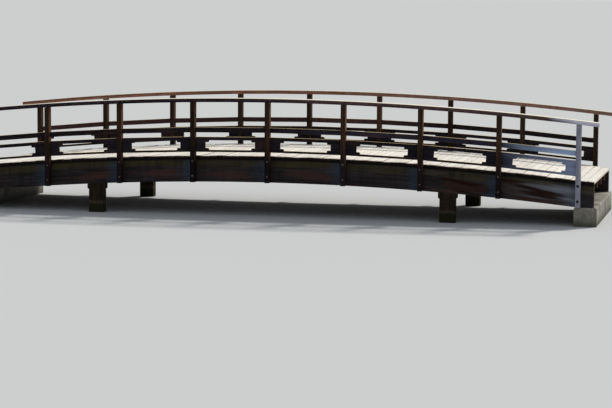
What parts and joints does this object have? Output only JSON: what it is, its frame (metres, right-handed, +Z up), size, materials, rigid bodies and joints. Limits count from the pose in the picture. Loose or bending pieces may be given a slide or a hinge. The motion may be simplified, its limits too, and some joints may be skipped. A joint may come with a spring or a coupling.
{
  "type": "moon bridge",
  "caption": "Low arched timber garden footbridge with laminated girders, plank deck, curved handrails and cut-out guard panels.",
  "frame": {"origin": "on the ground under the middle of the span, at the lowest footing level", "axes": "+X along the bridge, +Y from the near railing to the far railing, +Z up"},
  "size_m": [12.34, 3.636, 2.242],
  "materials": {
    "post_timber": "dark brown stain, worn to orange brown along edges",
    "panel_timber": "dark brown stain, faded blue grey where weather reaches",
    "rail_timber": "brown stain, faded and bleached along the top",
    "girder_timber": "dark stained laminated timber with reddish worn streaks",
    "frame_timber": "plain sawn timber, weathered brown",
    "deck_timber": "bleached bare boards, pale grey cream",
    "pier_timber": "dark treated timber, rough sawn",
    "concrete": "cast concrete, weathered",
    "bolt_iron": "dark rusted bolt heads, nuts and washers"
  },
  "bodies": {
    "root": {"near_post_1": "post_timber", "near_post_2": "post_timber", "near_post_3": "post_timber", "near_post_4": "post_timber", "near_post_5": "post_timber", "near_post_6": "post_timber", "near_post_7": "post_timber", "near_post_8": "post_timber", "near_post_9": "post_timber", "far_post_1": "post_timber", "far_post_2": "post_timber", "far_post_3": "post_timber", "far_post_4": "post_timber", "far_post_5": "post_timber", "far_post_6": "post_timber", "far_post_7": "post_timber", "far_post_8": "post_timber", "far_post_9": "post_timber", "near_panel_1": "panel_timber", "near_panel_2": "panel_timber", "near_panel_3": "panel_timber", "near_panel_4": "panel_timber", "near_panel_5": "panel_timber", "near_panel_6": "panel_timber", "near_panel_7": "panel_timber", "near_panel_8": "panel_timber", "far_panel_1": "panel_timber", "far_panel_2": "panel_timber", "far_panel_3": "panel_timber", "far_panel_4": "panel_timber", "far_panel_5": "panel_timber", "far_panel_6": "panel_timber", "far_panel_7": "panel_timber", "far_panel_8": "panel_timber", "near_handrail": "rail_timber", "far_handrail": "rail_timber", "mid_rails": "rail_timber", "near_girder": "girder_timber", "far_girder": "girder_timber", "stringers": "frame_timber", "cross_beams": "frame_timber", "deck": "deck_timber", "bolsters": "pier_timber", "pier_posts": "pier_timber", "end_seats": "concrete"}
  },
  "joints": []
}
